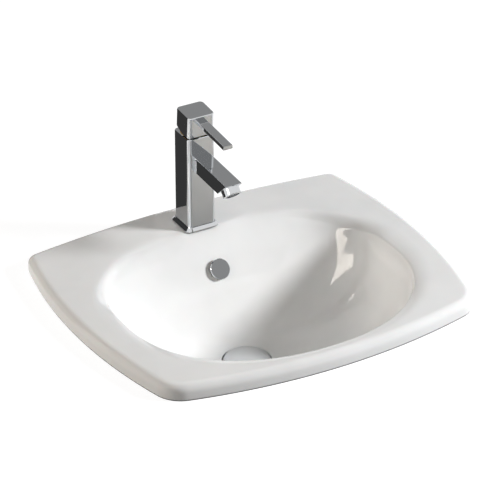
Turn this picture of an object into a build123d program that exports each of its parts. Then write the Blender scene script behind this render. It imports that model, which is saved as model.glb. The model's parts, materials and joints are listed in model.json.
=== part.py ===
"""Inset basin with a square monobloc tap, a push-to-open waste and a covered overflow.

Millimetres. The origin is on the waste's axis, in the plane where the rim sits on the
worktop. +X is the user's right, +Y runs to the wall and +Z is up.
"""
import os
from math import atan, cos, pi, radians, sin, sqrt, tan

from build123d import *

# Rim of the basin
RIM_BACK_CORNER = (239.0, 179.5)    # where the back edge and a side edge would meet
RIM_FRONT_CORNER = (228.5, -209.5)  # where the front edge and a side edge would meet
RIM_BACK_BULGE = 20.0               # how far each edge bows outwards
RIM_SIDE_BULGE = 26.0
RIM_FRONT_BULGE = 32.5
RIM_BACK_CORNER_R = 16.0
RIM_FRONT_CORNER_R = 42.0
RIM_HEIGHT = 22.0
RIM_EDGE_R = 11.0
RIM_FOOT_CHAMFER = 1.2
SEAT_WIDTH = 14.0                   # the flat ring that meets the worktop
DECK_THICKNESS = 12.0

# Bowl
CREASE_DROP = 5.5                   # the mouth's edge lies this far below the deck
CREASE_HALF_WIDTH = 207.0
CREASE_FRONT = 213.0                # from the waste's axis forwards
CREASE_BACK = 111.5                 # from the waste's axis to the top of the back wall
SHOULDER_SIDE_WIDTH = 22.0          # the soft slope between deck and mouth
SHOULDER_FRONT_WIDTH = 17.0
SHOULDER_BACK_WIDTH = 7.0
KNEE_RISE = 0.64                    # share of the shoulder's height at which its slope eases
KNEE_SIDE = 0.4                     # share of its width there, at front and sides
KNEE_BACK = 0.6
MOUTH_MIDDLE = -42.0                # where the mouth is widest
MOUTH_SQUARENESS = 2.2
BACK_SQUARENESS = 3.0
DECK_SQUARENESS = 2.5               # of the line where the shoulder meets the deck, behind
BOWL_FLOOR = -121.0
WALL_TAPER = 0.10
BACK_SLOPE_SHARE = 0.7              # how much of the back wall is its long slope
CHINA = 9.5                         # wall thickness
SECTION_POINTS = 28

# Waste fitting, an inch and a quarter thread
TAIL_R = 20.95
TAIL_WALL = 2.55
TAIL_LENGTH = 86.0
FLANGE_R = 32.8
FLANGE_THICKNESS = 3.2
PLUG_R = 30.6
PLUG_DOME = 3.2
PLUG_EDGE = 2.6
PLUG_TRAVEL = 9.0
SPINDLE_R = 3.0
LATCH_R = 7.5
LATCH_WALL = 1.9

# Waste hole in the china
TAIL_ROOM = 2.05                    # between the waste's tail and the hole
FLANGE_ROOM = 1.2                   # between its flange and the rebate
BOSS_WALL = 11.0
WASTE_HOLE_R = TAIL_R + TAIL_ROOM
WASTE_REBATE_R = FLANGE_R + FLANGE_ROOM
WASTE_REBATE = 5.0
WASTE_BOSS_R = WASTE_REBATE_R + BOSS_WALL
WASTE_BOSS_BOTTOM = -144.0

# Overflow
OVERFLOW_DROP = 41.6                # below the deck, measured on the back wall
OVERFLOW_HOLE_R = 12.5
OVERFLOW_CAP_R = 14.5
OVERFLOW_CAP_THICKNESS = 2.8
OVERFLOW_STAND_OFF = 3.4
CAP_BEVEL = 0.8
SLEEVE_WALL = 2.0
SLEEVE_LIP_R = 13.7
SLEEVE_LIP_HEIGHT = 1.5
SLEEVE_SEAT = -0.7                  # the china is faced flat for the sleeve's lip
FINGER_WIDTH = 5.0
FINGER_DEPTH = 1.4
FINGER_ROOT = -4.0
DUCT_HALF_WIDTH = 20.0
DUCT_DEPTH = 12.0
DUCT_TOP = -8.0                     # height of the duct's roof on the back wall
DUCT_BEND = 16.0                    # the duct turns inwards this far above the bowl's floor
DUCT_MOUTH = 8.0                    # how far it opens into the waste's hole
DUCT_SKIN = 3.0                     # china between the duct and the rebate's wall
DUCT_FLOOR = 8.0                    # china left above and below the duct beside the waste

# Tap
TAP_Y = 144.0
TAP_HOLE_R = 17.5
COLUMN_HALF = 21.1
COLUMN_CORNER_R = 6.0
COLUMN_TOP = 162.5
PLATE_HALF = 25.8
PLATE_CORNER_R = 10.0
PLATE_HEIGHT = 5.2
PLATE_BEVEL = 3.6
SEAL_THICKNESS = 0.8

SPOUT_HALF = 13.2
SPOUT_HEIGHT = 20.5
SPOUT_TOP_AT_COLUMN = 136.0
SPOUT_FALL = 2.5                    # degrees
SPOUT_REACH = 88.0                  # from the column's front face to the tip's top edge
SPOUT_CUT = 43.0                    # slope of the cut tip, degrees from level
SPOUT_EDGE = 2.0
AERATOR_R = 12.7
AERATOR_LENGTH = 10.5
AERATOR_THREAD_R = 10.9

# Cartridge and handle
CARTRIDGE_R = 17.5
CARTRIDGE_SEAT = 126.0
PIVOT_Z = 152.5
BALL_DEPTH = 9.5
HANDLE_LEAN = 4.0                   # the closed handle leans forwards, degrees
HANDLE_LIFT = 20.0
HEAD_HALF_WIDTH = 20.4
HEAD_DEPTH = 37.0
HEAD_MIDDLE = -0.6
HEAD_BOTTOM = 13.5
HEAD_TOP = 43.8
HEAD_WALL = 3.5
HEAD_UNDERCUT = 18.0
LEVER_WIDTH = 14.0
LEVER_THICKNESS = 5.8
LEVER_TOP = 37.8
LEVER_LENGTH = 72.0
STEM = 9.0                          # square stem

# Fits
RUNNING = 0.05                      # radial clearance of a running fit
SEATED = 0.02                       # radial clearance of a part pushed or screwed home
LOOSE = 0.3
OVER = 1.0                          # how far a cutter reaches past what it cuts

os.makedirs("parts", exist_ok=True)


def save(shape, node):
    shape.label = node
    export_step(shape, "parts/" + node + ".step")


def cylinder_between(radius, low, high, x=0.0, y=0.0):
    return Pos(x, y, (low + high) / 2) * Cylinder(radius, high - low)


def ring(outer, inner, low, high, x=0.0, y=0.0):
    return cylinder_between(outer, low, high, x, y) - cylinder_between(inner, low - OVER, high + OVER, x, y)


def box_between(x, y, z):
    return Pos(sum(x) / 2, sum(y) / 2, sum(z) / 2) * Box(x[1] - x[0], y[1] - y[0], z[1] - z[0])


def rounded_prism(half_x, half_y, corner, low, high, x=0.0, y=0.0):
    plan = Pos(x, y) * RectangleRounded(2 * half_x, 2 * half_y, corner)
    return Pos(0, 0, low) * extrude(plan, high - low)


# Basin

def edge_arc(start, end, bulge):
    """An edge of the rim: an arc that bows away from the middle of the basin."""
    a = Vector(*start)
    b = Vector(*end)
    along = (b - a).normalized()
    outwards = Vector(along.Y, -along.X)
    return ThreePointArc(a, (a + b) / 2 + outwards * bulge, b)


def rim_plan():
    bx, by = RIM_BACK_CORNER
    fx, fy = RIM_FRONT_CORNER
    edges = [
        edge_arc((fx, fy), (bx, by), RIM_SIDE_BULGE),
        edge_arc((bx, by), (-bx, by), RIM_BACK_BULGE),
        edge_arc((-bx, by), (-fx, fy), RIM_SIDE_BULGE),
        edge_arc((-fx, fy), (fx, fy), RIM_FRONT_BULGE),
    ]
    plan = make_face(edges)
    plan = fillet(plan.vertices().filter_by(lambda v: v.Y > 0), RIM_BACK_CORNER_R)
    return fillet(plan.vertices().filter_by(lambda v: v.Y < fy + 1.0 and abs(abs(v.X) - fx) < 1.0), RIM_FRONT_CORNER_R)


def crease_z():
    return RIM_HEIGHT - CREASE_DROP


def wall_share(s):
    """How much of the mouth's size is left at a share s of the depth, at front and sides."""
    return (1 - WALL_TAPER * s) * sqrt(1 - s * s)


def back_share(s):
    """The same for the back wall, which slopes away early and then drops to the floor."""
    return BACK_SLOPE_SHARE * (1 - s) ** 3 + (1 - BACK_SLOPE_SHARE) * sqrt(1 - s * s)


def back_wall_y(z):
    s = (crease_z() - z) / (crease_z() - BOWL_FLOOR)
    return WASTE_REBATE_R + (CREASE_BACK - WASTE_REBATE_R) * back_share(s)


def section(z, half_width, front, back, middle, front_power, back_power):
    """A closed level curve of the bowl: one oval in front of its widest line, one behind."""
    points = []
    for k in range(SECTION_POINTS):
        t = 2 * pi * k / SECTION_POINTS
        power = back_power if sin(t) > 0 else front_power
        reach = back - middle if sin(t) > 0 else middle + front
        x = half_width * abs(cos(t)) ** (2 / power) * (1 if cos(t) > 0 else -1)
        y = middle + reach * abs(sin(t)) ** (2 / power) * (1 if sin(t) > 0 else -1)
        points.append(Vector(x, y, z))
    return Wire([Edge.make_spline(points, periodic=True)])


def bowl_section(s, grow=0.0, floor_radius=WASTE_REBATE_R, top=None, floor=None):
    """The level curve at a share s of the depth, from the mouth's edge (0) to the floor (1)."""
    top = crease_z() if top is None else top
    floor = BOWL_FLOOR if floor is None else floor
    share = wall_share(s)
    half_width = floor_radius + (CREASE_HALF_WIDTH + grow - floor_radius) * share
    front = floor_radius + (CREASE_FRONT + grow - floor_radius) * share
    back = floor_radius + (CREASE_BACK + grow - floor_radius) * back_share(s)
    middle = MOUTH_MIDDLE * share
    power = 2 + (MOUTH_SQUARENESS - 2) * share
    back_power = 2 + (BACK_SQUARENESS - 2) * share
    return section(top + (floor - top) * s, half_width, front, back, middle, power, back_power)


def bowl_void():
    """The space of the bowl below its mouth."""
    steps = 9
    shares = [sin(pi / 2 * k / steps) for k in range(steps)] + [0.9985]
    return Solid.make_loft([bowl_section(s) for s in shares], ruled=False)


def shoulder_section(rise, side, back):
    """A level curve on the shoulder, with the shares of its height and its two widths there."""
    return section(
        crease_z() + CREASE_DROP * rise,
        CREASE_HALF_WIDTH + SHOULDER_SIDE_WIDTH * side,
        CREASE_FRONT + SHOULDER_FRONT_WIDTH * side,
        CREASE_BACK + SHOULDER_BACK_WIDTH * back,
        MOUTH_MIDDLE, MOUTH_SQUARENESS, BACK_SQUARENESS + (DECK_SQUARENESS - BACK_SQUARENESS) * back)


def shoulder_void():
    """The space above the shoulder, which leads from the deck to the mouth in two slopes."""
    past = 1.0 + OVER / CREASE_DROP
    run = (past - KNEE_RISE) / (1.0 - KNEE_RISE)
    return Solid.make_loft([
        bowl_section(0.0),
        shoulder_section(KNEE_RISE, KNEE_SIDE, KNEE_BACK),
        shoulder_section(past, KNEE_SIDE + (1.0 - KNEE_SIDE) * run, KNEE_BACK + (1.0 - KNEE_BACK) * run),
    ], ruled=True)


def bowl_outside():
    """The outside of the china bowl, a wall's thickness away from the void."""
    steps = 7
    shares = [sin(pi / 2 * k / steps) for k in range(steps)] + [0.9985]
    sections = [bowl_section(s, CHINA, WASTE_BOSS_R, crease_z() - 0.4 * CHINA, BOWL_FLOOR - CHINA) for s in shares]
    return Solid.make_loft(sections, ruled=False)


def slab_of_profile(points, half_width):
    """A profile drawn in the YZ plane, made half_width thick to each side of the middle."""
    profile = make_face(Plane.YZ * Polyline(*points, close=True))
    return extrude(profile, half_width, both=True)


def back_wall_tilt(z):
    """How far the back wall looks upwards at height z, in radians."""
    return atan((back_wall_y(z + 1.0) - back_wall_y(z - 1.0)) / 2)


def behind_back_wall(z, depth):
    """The point that lies a depth square behind the back wall's point at height z."""
    tilt = back_wall_tilt(z)
    return back_wall_y(z) + depth * cos(tilt), z - depth * sin(tilt)


def duct_profile(near, far, top, low, high):
    """The overflow duct seen from the side: it follows the back wall down to the waste."""
    foot = BOWL_FLOOR + DUCT_BEND
    levels = [top + (foot - top) * k / 3 for k in range(4)]
    front = [behind_back_wall(z, near) for z in levels]
    back = [behind_back_wall(z, far) for z in reversed(levels)]
    mouth_y = WASTE_HOLE_R - DUCT_MOUTH
    turn_y = WASTE_REBATE_R + DUCT_SKIN
    return front + [(turn_y, high), (mouth_y, high), (mouth_y, low), (WASTE_REBATE_R + far, low)] + back


def overflow_frame():
    """Where the overflow goes through the back wall, with +Z out of the wall into the bowl."""
    z = RIM_HEIGHT - OVERFLOW_DROP
    tilt = back_wall_tilt(z)
    return Location(Plane((0, back_wall_y(z), z), x_dir=(1, 0, 0), z_dir=(0, -cos(tilt), sin(tilt))))


def basin():
    plan = rim_plan()
    rim = extrude(plan, RIM_HEIGHT)
    rim = fillet(rim.edges().group_by(Axis.Z)[-1], RIM_EDGE_R)
    rim = chamfer(rim.edges().group_by(Axis.Z)[0], RIM_FOOT_CHAMFER)
    rim -= extrude(offset(plan, -SEAT_WIDTH), RIM_HEIGHT - DECK_THICKNESS)
    body = rim + bowl_outside()
    body += cylinder_between(WASTE_BOSS_R, WASTE_BOSS_BOTTOM, BOWL_FLOOR)
    duct_back = CHINA + DUCT_DEPTH
    shell = duct_profile(CHINA / 2, duct_back + CHINA, DUCT_TOP + CHINA, WASTE_BOSS_BOTTOM, BOWL_FLOOR)
    body += slab_of_profile(shell, DUCT_HALF_WIDTH + CHINA)
    body -= bowl_void()
    body -= shoulder_void()
    hollow = duct_profile(CHINA, duct_back, DUCT_TOP, WASTE_BOSS_BOTTOM + DUCT_FLOOR, BOWL_FLOOR - DUCT_FLOOR)
    body -= slab_of_profile(hollow, DUCT_HALF_WIDTH)
    body -= cylinder_between(WASTE_HOLE_R, WASTE_BOSS_BOTTOM - OVER, BOWL_FLOOR + OVER)
    body -= cylinder_between(WASTE_REBATE_R, BOWL_FLOOR - WASTE_REBATE, BOWL_FLOOR + OVER)
    body -= cylinder_between(TAP_HOLE_R, 0, RIM_HEIGHT + OVER, 0, TAP_Y)
    body -= overflow_frame() * cylinder_between(OVERFLOW_HOLE_R, -CHINA - DUCT_DEPTH / 2, CHINA)
    body -= overflow_frame() * cylinder_between(SLEEVE_LIP_R + LOOSE, SLEEVE_SEAT, CHINA)
    return body


# Overflow

def overflow_sleeve():
    """A flanged ring in the overflow hole, with three fingers that hold the cap off the wall."""
    bore = OVERFLOW_HOLE_R - SLEEVE_WALL
    body = cylinder_between(OVERFLOW_HOLE_R - RUNNING, -CHINA, SLEEVE_SEAT)
    body += cylinder_between(SLEEVE_LIP_R, SLEEVE_SEAT, SLEEVE_SEAT + SLEEVE_LIP_HEIGHT)
    body -= cylinder_between(bore, -CHINA - OVER, OVERFLOW_STAND_OFF)
    for k in range(3):
        finger = box_between((bore - FINGER_DEPTH, bore + SLEEVE_WALL / 2), (-FINGER_WIDTH / 2, FINGER_WIDTH / 2),
                             (FINGER_ROOT, OVERFLOW_STAND_OFF))
        body += Rot(0, 0, 90 + 120 * k) * finger
    return overflow_frame() * body


def overflow_cap():
    disc = cylinder_between(OVERFLOW_CAP_R, OVERFLOW_STAND_OFF, OVERFLOW_STAND_OFF + OVERFLOW_CAP_THICKNESS)
    disc = chamfer(disc.edges().group_by(Axis.Z)[-1], CAP_BEVEL)
    return overflow_frame() * disc


# Waste fitting

def turned(points):
    """A solid of revolution about the waste's axis from (radius, height) points."""
    return revolve(make_face(Plane.XZ * Polyline(*points, close=True)), Axis.Z)


WASTE_SEAL_WIDTH = 8.05
WASTE_SEAL_R = TAIL_R + WASTE_SEAL_WIDTH
WASTE_SEAL_HEIGHT = 6.0
WASTE_SEAL_BEVEL = 2.5
WASTE_WASHER_WIDTH = 9.55
WASTE_WASHER_R = TAIL_R + WASTE_WASHER_WIDTH
WASTE_WASHER_HEIGHT = 2.0
BACKNUT_HEIGHT = 10.0
BACKNUT_WALL = 6.55                 # from the thread to a flat
BACKNUT_ACROSS = 2 * (TAIL_R + BACKNUT_WALL)
BACKNUT_CORNER_R = WASTE_WASHER_R
BACKNUT_TOP = WASTE_BOSS_BOTTOM - WASTE_SEAL_HEIGHT - WASTE_WASHER_HEIGHT
BACKNUT_LOW = BACKNUT_TOP - BACKNUT_HEIGHT
SPARE_THREAD = 2.0
GROOVE_TOP = BACKNUT_LOW - SPARE_THREAD
GROOVE_WIDTH = 1.5
GROOVE_DEPTH = 0.6
TAIL_BORE_R = TAIL_R - TAIL_WALL
FLANGE_SUNK = 0.4                   # below the bowl's floor
FLANGE_TOP = BOWL_FLOOR - FLANGE_SUNK
FLANGE_BOTTOM = FLANGE_TOP - FLANGE_THICKNESS
FLANGE_FACE = 3.8
FLANGE_EDGE = 0.8
CONE_TOP_R = FLANGE_R - FLANGE_FACE
CONE_EDGE = 0.6
CONE_DROP = 2.8
CONE_FOOT = FLANGE_TOP - CONE_EDGE - CONE_DROP
NECK = 1.6                          # the slope between tail and flange underside
WINDOW_WIDTH = 12.0                 # the openings that take the overflow's water
WINDOW_HEIGHT = 8.0
WINDOW_LOW = WASTE_BOSS_BOTTOM + DUCT_FLOOR - OVER
TAIL_END = FLANGE_TOP - TAIL_LENGTH
LATCH_BORE_R = LATCH_R - LATCH_WALL
LATCH_SUNK = 12.6                   # below the flange
LATCH_TOP = FLANGE_TOP - LATCH_SUNK
LATCH_LIP = 2.5
LATCH_FLOOR = 4.0
SCREW_END = 2.0                     # how far the latch's screw shows below its bridge
SPINDLE_FOOT = 2.0
SPRING_LENGTH = 4.4                 # with the plug down
FOOT_LOW = LATCH_TOP - LATCH_LIP - PLUG_TRAVEL - SPINDLE_FOOT
SPRING_FLOOR = FOOT_LOW - SPRING_LENGTH
BRIDGE_TOP = SPRING_FLOOR - LATCH_FLOOR
BRIDGE_HEIGHT = 4.0
BRIDGE_LOW = BRIDGE_TOP - BRIDGE_HEIGHT
RIB_WIDTH = 2.5
PLUG_LIFTED = 0.2                   # the closed cap's gap over the flange
PLUG_UNDERSIDE = FLANGE_TOP + PLUG_LIFTED
PLUG_EASED = 0.6
SOCKET_WALL = 3.0
SOCKET_DEPTH = 5.0
PLUG_SEAL_WIDTH = 6.0
PLUG_SEAL_GAP = 0.12                # over the cone, when the plug is down
WIRE_R = 0.35
SPRING_TURNS = 3
SPRING_INSET = 1.2                  # from the barrel's bore to the wire's middle
SPRING_GAP = 0.15


def waste_body():
    """The flanged tail. A groove parts the nut's stretch of thread from the trap's."""
    body = turned([
        (TAIL_BORE_R, TAIL_END), (TAIL_R, TAIL_END), (TAIL_R, FLANGE_BOTTOM - NECK), (TAIL_R + NECK, FLANGE_BOTTOM),
        (FLANGE_R, FLANGE_BOTTOM), (FLANGE_R, FLANGE_TOP - FLANGE_EDGE), (FLANGE_R - FLANGE_EDGE, FLANGE_TOP),
        (CONE_TOP_R + CONE_EDGE, FLANGE_TOP), (CONE_TOP_R, FLANGE_TOP - CONE_EDGE), (TAIL_BORE_R, CONE_FOOT)])
    body -= ring(TAIL_R + OVER, TAIL_R - GROOVE_DEPTH, GROOVE_TOP - GROOVE_WIDTH, GROOVE_TOP)
    window = (-WINDOW_WIDTH / 2, WINDOW_WIDTH / 2)
    body -= box_between(window, (-TAIL_R - OVER, TAIL_R + OVER), (WINDOW_LOW, WINDOW_LOW + WINDOW_HEIGHT))
    for k in range(3):
        rib = box_between((LATCH_R - SEATED - LATCH_WALL / 2, TAIL_BORE_R + TAIL_WALL / 3),
                          (-RIB_WIDTH / 2, RIB_WIDTH / 2), (BRIDGE_LOW, BRIDGE_TOP))
        body += Rot(0, 0, 30 + 120 * k) * rib
    body += ring(LATCH_R, SPINDLE_R, BRIDGE_LOW, BRIDGE_TOP)
    return body


def waste_top_seal():
    return ring(FLANGE_R - OVER, TAIL_R + NECK + LOOSE, BOWL_FLOOR - WASTE_REBATE, FLANGE_BOTTOM)


def waste_bottom_seal():
    top = WASTE_BOSS_BOTTOM
    low = top - WASTE_SEAL_HEIGHT
    bore = TAIL_R + RUNNING
    outer = WASTE_SEAL_R
    bevel = WASTE_SEAL_BEVEL
    return turned([(bore, low), (outer, low), (outer, top - bevel), (outer - bevel, top), (bore, top)])


def waste_washer():
    return ring(WASTE_WASHER_R, TAIL_R + RUNNING, BACKNUT_TOP, BACKNUT_TOP + WASTE_WASHER_HEIGHT)


def waste_backnut():
    plan = RegularPolygon(BACKNUT_ACROSS / 2, 6, major_radius=False)
    nut = Pos(0, 0, BACKNUT_LOW) * extrude(plan, BACKNUT_HEIGHT)
    nut &= cylinder_between(BACKNUT_CORNER_R, BACKNUT_LOW, BACKNUT_TOP)
    return nut - cylinder_between(TAIL_R + SEATED, BACKNUT_LOW - OVER, BACKNUT_TOP + OVER)


def plug_cap():
    """The domed cap, with the socket that takes the spindle's head."""
    top = PLUG_UNDERSIDE + PLUG_EDGE + PLUG_DOME
    sphere_r = (PLUG_R ** 2 + PLUG_DOME ** 2) / (2 * PLUG_DOME)
    cap = cylinder_between(PLUG_R, PLUG_UNDERSIDE, top)
    cap &= Pos(0, 0, top - sphere_r) * Sphere(sphere_r)
    rims = cap.edges().filter_by(lambda e: e.length > 4 * PLUG_R)
    cap = chamfer(rims.sort_by(Axis.Z)[-1], PLUG_EASED)
    low = PLUG_UNDERSIDE - SOCKET_DEPTH
    return cap + ring(SPINDLE_R + SOCKET_WALL, SPINDLE_R + SEATED, low, PLUG_UNDERSIDE)


def cone_z(radius):
    """Height of the flange's inner cone at a radius."""
    return CONE_FOOT + CONE_DROP * (radius - TAIL_BORE_R) / (CONE_TOP_R - TAIL_BORE_R)


def plug_seal():
    inner = CONE_TOP_R - PLUG_SEAL_WIDTH - OVER
    outer = CONE_TOP_R - OVER
    return turned([(inner, cone_z(inner) + PLUG_SEAL_GAP), (outer, cone_z(outer) + PLUG_SEAL_GAP),
                   (outer, PLUG_UNDERSIDE), (inner, PLUG_UNDERSIDE)])


def plug_spindle():
    rod = cylinder_between(SPINDLE_R, FOOT_LOW, PLUG_UNDERSIDE)
    return rod + cylinder_between(LATCH_BORE_R - RUNNING, FOOT_LOW, FOOT_LOW + SPINDLE_FOOT)


def latch_body():
    """The push-push latch's barrel, screwed down on the bridge in the waste."""
    barrel = cylinder_between(LATCH_R, BRIDGE_TOP, LATCH_TOP)
    barrel -= cylinder_between(LATCH_BORE_R, SPRING_FLOOR, LATCH_TOP - LATCH_LIP)
    barrel -= cylinder_between(SPINDLE_R + RUNNING, LATCH_TOP - LATCH_LIP - OVER, LATCH_TOP + OVER)
    return barrel + cylinder_between(SPINDLE_R - SEATED, BRIDGE_LOW - SCREW_END, BRIDGE_TOP)


def plug_spring():
    """The spring that lifts the plug, pressed nearly flat while the plug is down."""
    pitch = (SPRING_LENGTH - 2 * WIRE_R - 2 * SPRING_GAP) / SPRING_TURNS
    path = Helix(pitch=pitch, height=pitch * SPRING_TURNS, radius=LATCH_BORE_R - SPRING_INSET)
    start = Plane(path @ 0, z_dir=path % 0)
    coil = sweep(start * RegularPolygon(WIRE_R, 4), path=path, is_frenet=True)
    return Pos(0, 0, SPRING_FLOOR + WIRE_R + SPRING_GAP) * coil


# Tap: fixings under the deck and the body

INLET_X = 6.5
INLET_SET_BACK = 4.0                # behind the column's middle
INLET_Y = TAP_Y + INLET_SET_BACK
INLET_R = 4.5
INLET_DEPTH = 12.0
WATERWAY_R = 3.5
STUD_SET_FORWARD = 9.5
STUD_Y = TAP_Y - STUD_SET_FORWARD
STUD_R = 4.0
STUD_LENGTH = 75.0
STUD_SOCKET = 16.0
SHANK_R = 16.0
SHANK_SUNK = 10.0                   # the shank reaches this far below the deck's top
SHANK_LOW = RIM_HEIGHT - SHANK_SUNK
PLATE_LOW = RIM_HEIGHT + SEAL_THICKNESS
PLATE_TOP = PLATE_LOW + PLATE_HEIGHT
SHANK_RISE = 12.0                   # and this far up into the column
SHANK_TOP = PLATE_TOP + SHANK_RISE
ORING_DROP = 6.0
ORING_WIDTH = 2.4
ORING_DEPTH = 1.6
DECK_UNDERSIDE = RIM_HEIGHT - DECK_THICKNESS
SEAL_INSET = 1.2
CLAMP_RUBBER = 3.0
CLAMP_STEEL = 2.0
CLAMP_R = 24.0
CLAMP_STEP = 1.0                    # the steel washer is this much smaller
HOSE_ROOM = 1.5
CLAMP_NUT_HEIGHT = 8.0
CLAMP_NUT_ACROSS = 13.0


def base_seal():
    half = PLATE_HALF - SEAL_INSET
    plan = rounded_prism(half, half, PLATE_CORNER_R - SEAL_INSET, RIM_HEIGHT, PLATE_LOW, 0, TAP_Y)
    return plan - cylinder_between(TAP_HOLE_R, RIM_HEIGHT - OVER, PLATE_LOW + OVER, 0, TAP_Y)


def base_plate():
    plate = rounded_prism(PLATE_HALF, PLATE_HALF, PLATE_CORNER_R, PLATE_LOW, PLATE_TOP, 0, TAP_Y)
    plate = chamfer(plate.edges().group_by(Axis.Z)[-1], PLATE_BEVEL)
    return plate - cylinder_between(SHANK_R + LOOSE, PLATE_LOW - OVER, PLATE_TOP + OVER, 0, TAP_Y)


def inlet_block():
    """The brass shank under the column: two threaded inlets and the stud's hole."""
    block = cylinder_between(SHANK_R, SHANK_LOW, SHANK_TOP, 0, TAP_Y)
    for x in (-INLET_X, INLET_X):
        block -= cylinder_between(INLET_R, SHANK_LOW - OVER, SHANK_LOW + INLET_DEPTH, x, INLET_Y)
        block -= cylinder_between(WATERWAY_R, SHANK_LOW, SHANK_TOP + OVER, x, INLET_Y)
    block -= cylinder_between(STUD_R + SEATED, SHANK_LOW - OVER, SHANK_LOW + STUD_SOCKET, 0, STUD_Y)
    groove_low = SHANK_TOP - ORING_DROP
    return block - ring(SHANK_R + OVER, SHANK_R - ORING_DEPTH, groove_low, groove_low + ORING_WIDTH, 0, TAP_Y)


def inlet_seal():
    low = SHANK_TOP - ORING_DROP
    return ring(SHANK_R, SHANK_R - ORING_DEPTH, low + RUNNING, low + ORING_WIDTH - RUNNING, 0, TAP_Y)


def fixing_stud():
    top = SHANK_LOW + STUD_SOCKET
    return cylinder_between(STUD_R, top - STUD_LENGTH, top, 0, STUD_Y)


def horseshoe(radius, low, high):
    """A washer that is open at the back for the two hoses."""
    plate = cylinder_between(radius, low, high, 0, TAP_Y)
    half = INLET_X + INLET_R + HOSE_ROOM
    open_back = (INLET_Y - INLET_R - HOSE_ROOM, TAP_Y + radius + OVER)
    plate -= box_between((-half, half), open_back, (low - OVER, high + OVER))
    return plate - cylinder_between(STUD_R + LOOSE, low - OVER, high + OVER, 0, STUD_Y)


def fixing_washer_rubber():
    return horseshoe(CLAMP_R, DECK_UNDERSIDE - CLAMP_RUBBER, DECK_UNDERSIDE)


def fixing_washer_steel():
    top = DECK_UNDERSIDE - CLAMP_RUBBER
    return horseshoe(CLAMP_R - CLAMP_STEP, top - CLAMP_STEEL, top)


def fixing_nut():
    top = DECK_UNDERSIDE - CLAMP_RUBBER - CLAMP_STEEL
    low = top - CLAMP_NUT_HEIGHT
    plan = RegularPolygon(CLAMP_NUT_ACROSS / 2, 6, major_radius=False)
    nut = Pos(0, STUD_Y, low) * extrude(plan, CLAMP_NUT_HEIGHT)
    return nut - cylinder_between(STUD_R + SEATED, low - OVER, top + OVER, 0, STUD_Y)


COLUMN_FRONT = TAP_Y - COLUMN_HALF
TIP_Y = COLUMN_FRONT - SPOUT_REACH


def spout_top(y):
    return SPOUT_TOP_AT_COLUMN - tan(radians(SPOUT_FALL)) * (COLUMN_FRONT - y)


def cut_length():
    """Length of the slanted end face, from the tip's top edge to the spout's underside."""
    cut = radians(SPOUT_CUT)
    return SPOUT_HEIGHT / (sin(cut) + tan(radians(SPOUT_FALL)) * cos(cut))


def cut_point(share):
    cut = radians(SPOUT_CUT)
    run = cut_length() * share
    return TIP_Y + run * cos(cut), spout_top(TIP_Y) - run * sin(cut)


def aerator_frame():
    """On the slanted end face, with +Z along the outflow."""
    y, z = cut_point(AERATOR_PLACE)
    cut = radians(SPOUT_CUT)
    return Location(Plane((0, y, z), x_dir=(1, 0, 0), z_dir=(0, -sin(cut), -cos(cut))))


AERATOR_PLACE = 0.53                # share of the slanted face, from its top
THREAD_LENGTH = 7.0
NOZZLE_WALL = 2.4
AERATOR_LIP = 1.2
AERATOR_GRIP = 1.2
AERATOR_BEVEL = 0.7
AERATOR_WASHER = 1.0
SPOUT_WALL = 3.0
SPOUT_ROOT = 2.0                    # how far the spout reaches into the column
COLUMN_EDGE = 0.8
SEAT_BORE_R = CARTRIDGE_R + RUNNING
HOUSING_SHY = 1.5                   # the cartridge's housing ends this far below the pivot
HOUSING_TOP = PIVOT_Z - HOUSING_SHY
NUT_STEP = 1.5
NUT_BORE_R = CARTRIDGE_R + NUT_STEP
OUTLET_SET_FORWARD = 9.0
OUTLET_Y = TAP_Y - OUTLET_SET_FORWARD
OUTLET_R = 4.0
OUTLET_DROP = 6.2
OUTLET_RISE = 0.15                  # slope of the drilled way to the spout


def spout_profile(inset=0.0):
    """The spout from the side, cut off at a slant, or its hollow a wall's thickness inside."""
    root = COLUMN_FRONT + SPOUT_ROOT
    top = spout_top(root)
    corners = [(root, top), (TIP_Y, spout_top(TIP_Y)), cut_point(1.0), (root, top - SPOUT_HEIGHT)]
    outline = make_face(Polyline(*corners, close=True))
    return Plane.YZ * (offset(outline, -inset, kind=Kind.INTERSECTION) if inset else outline)


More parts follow.
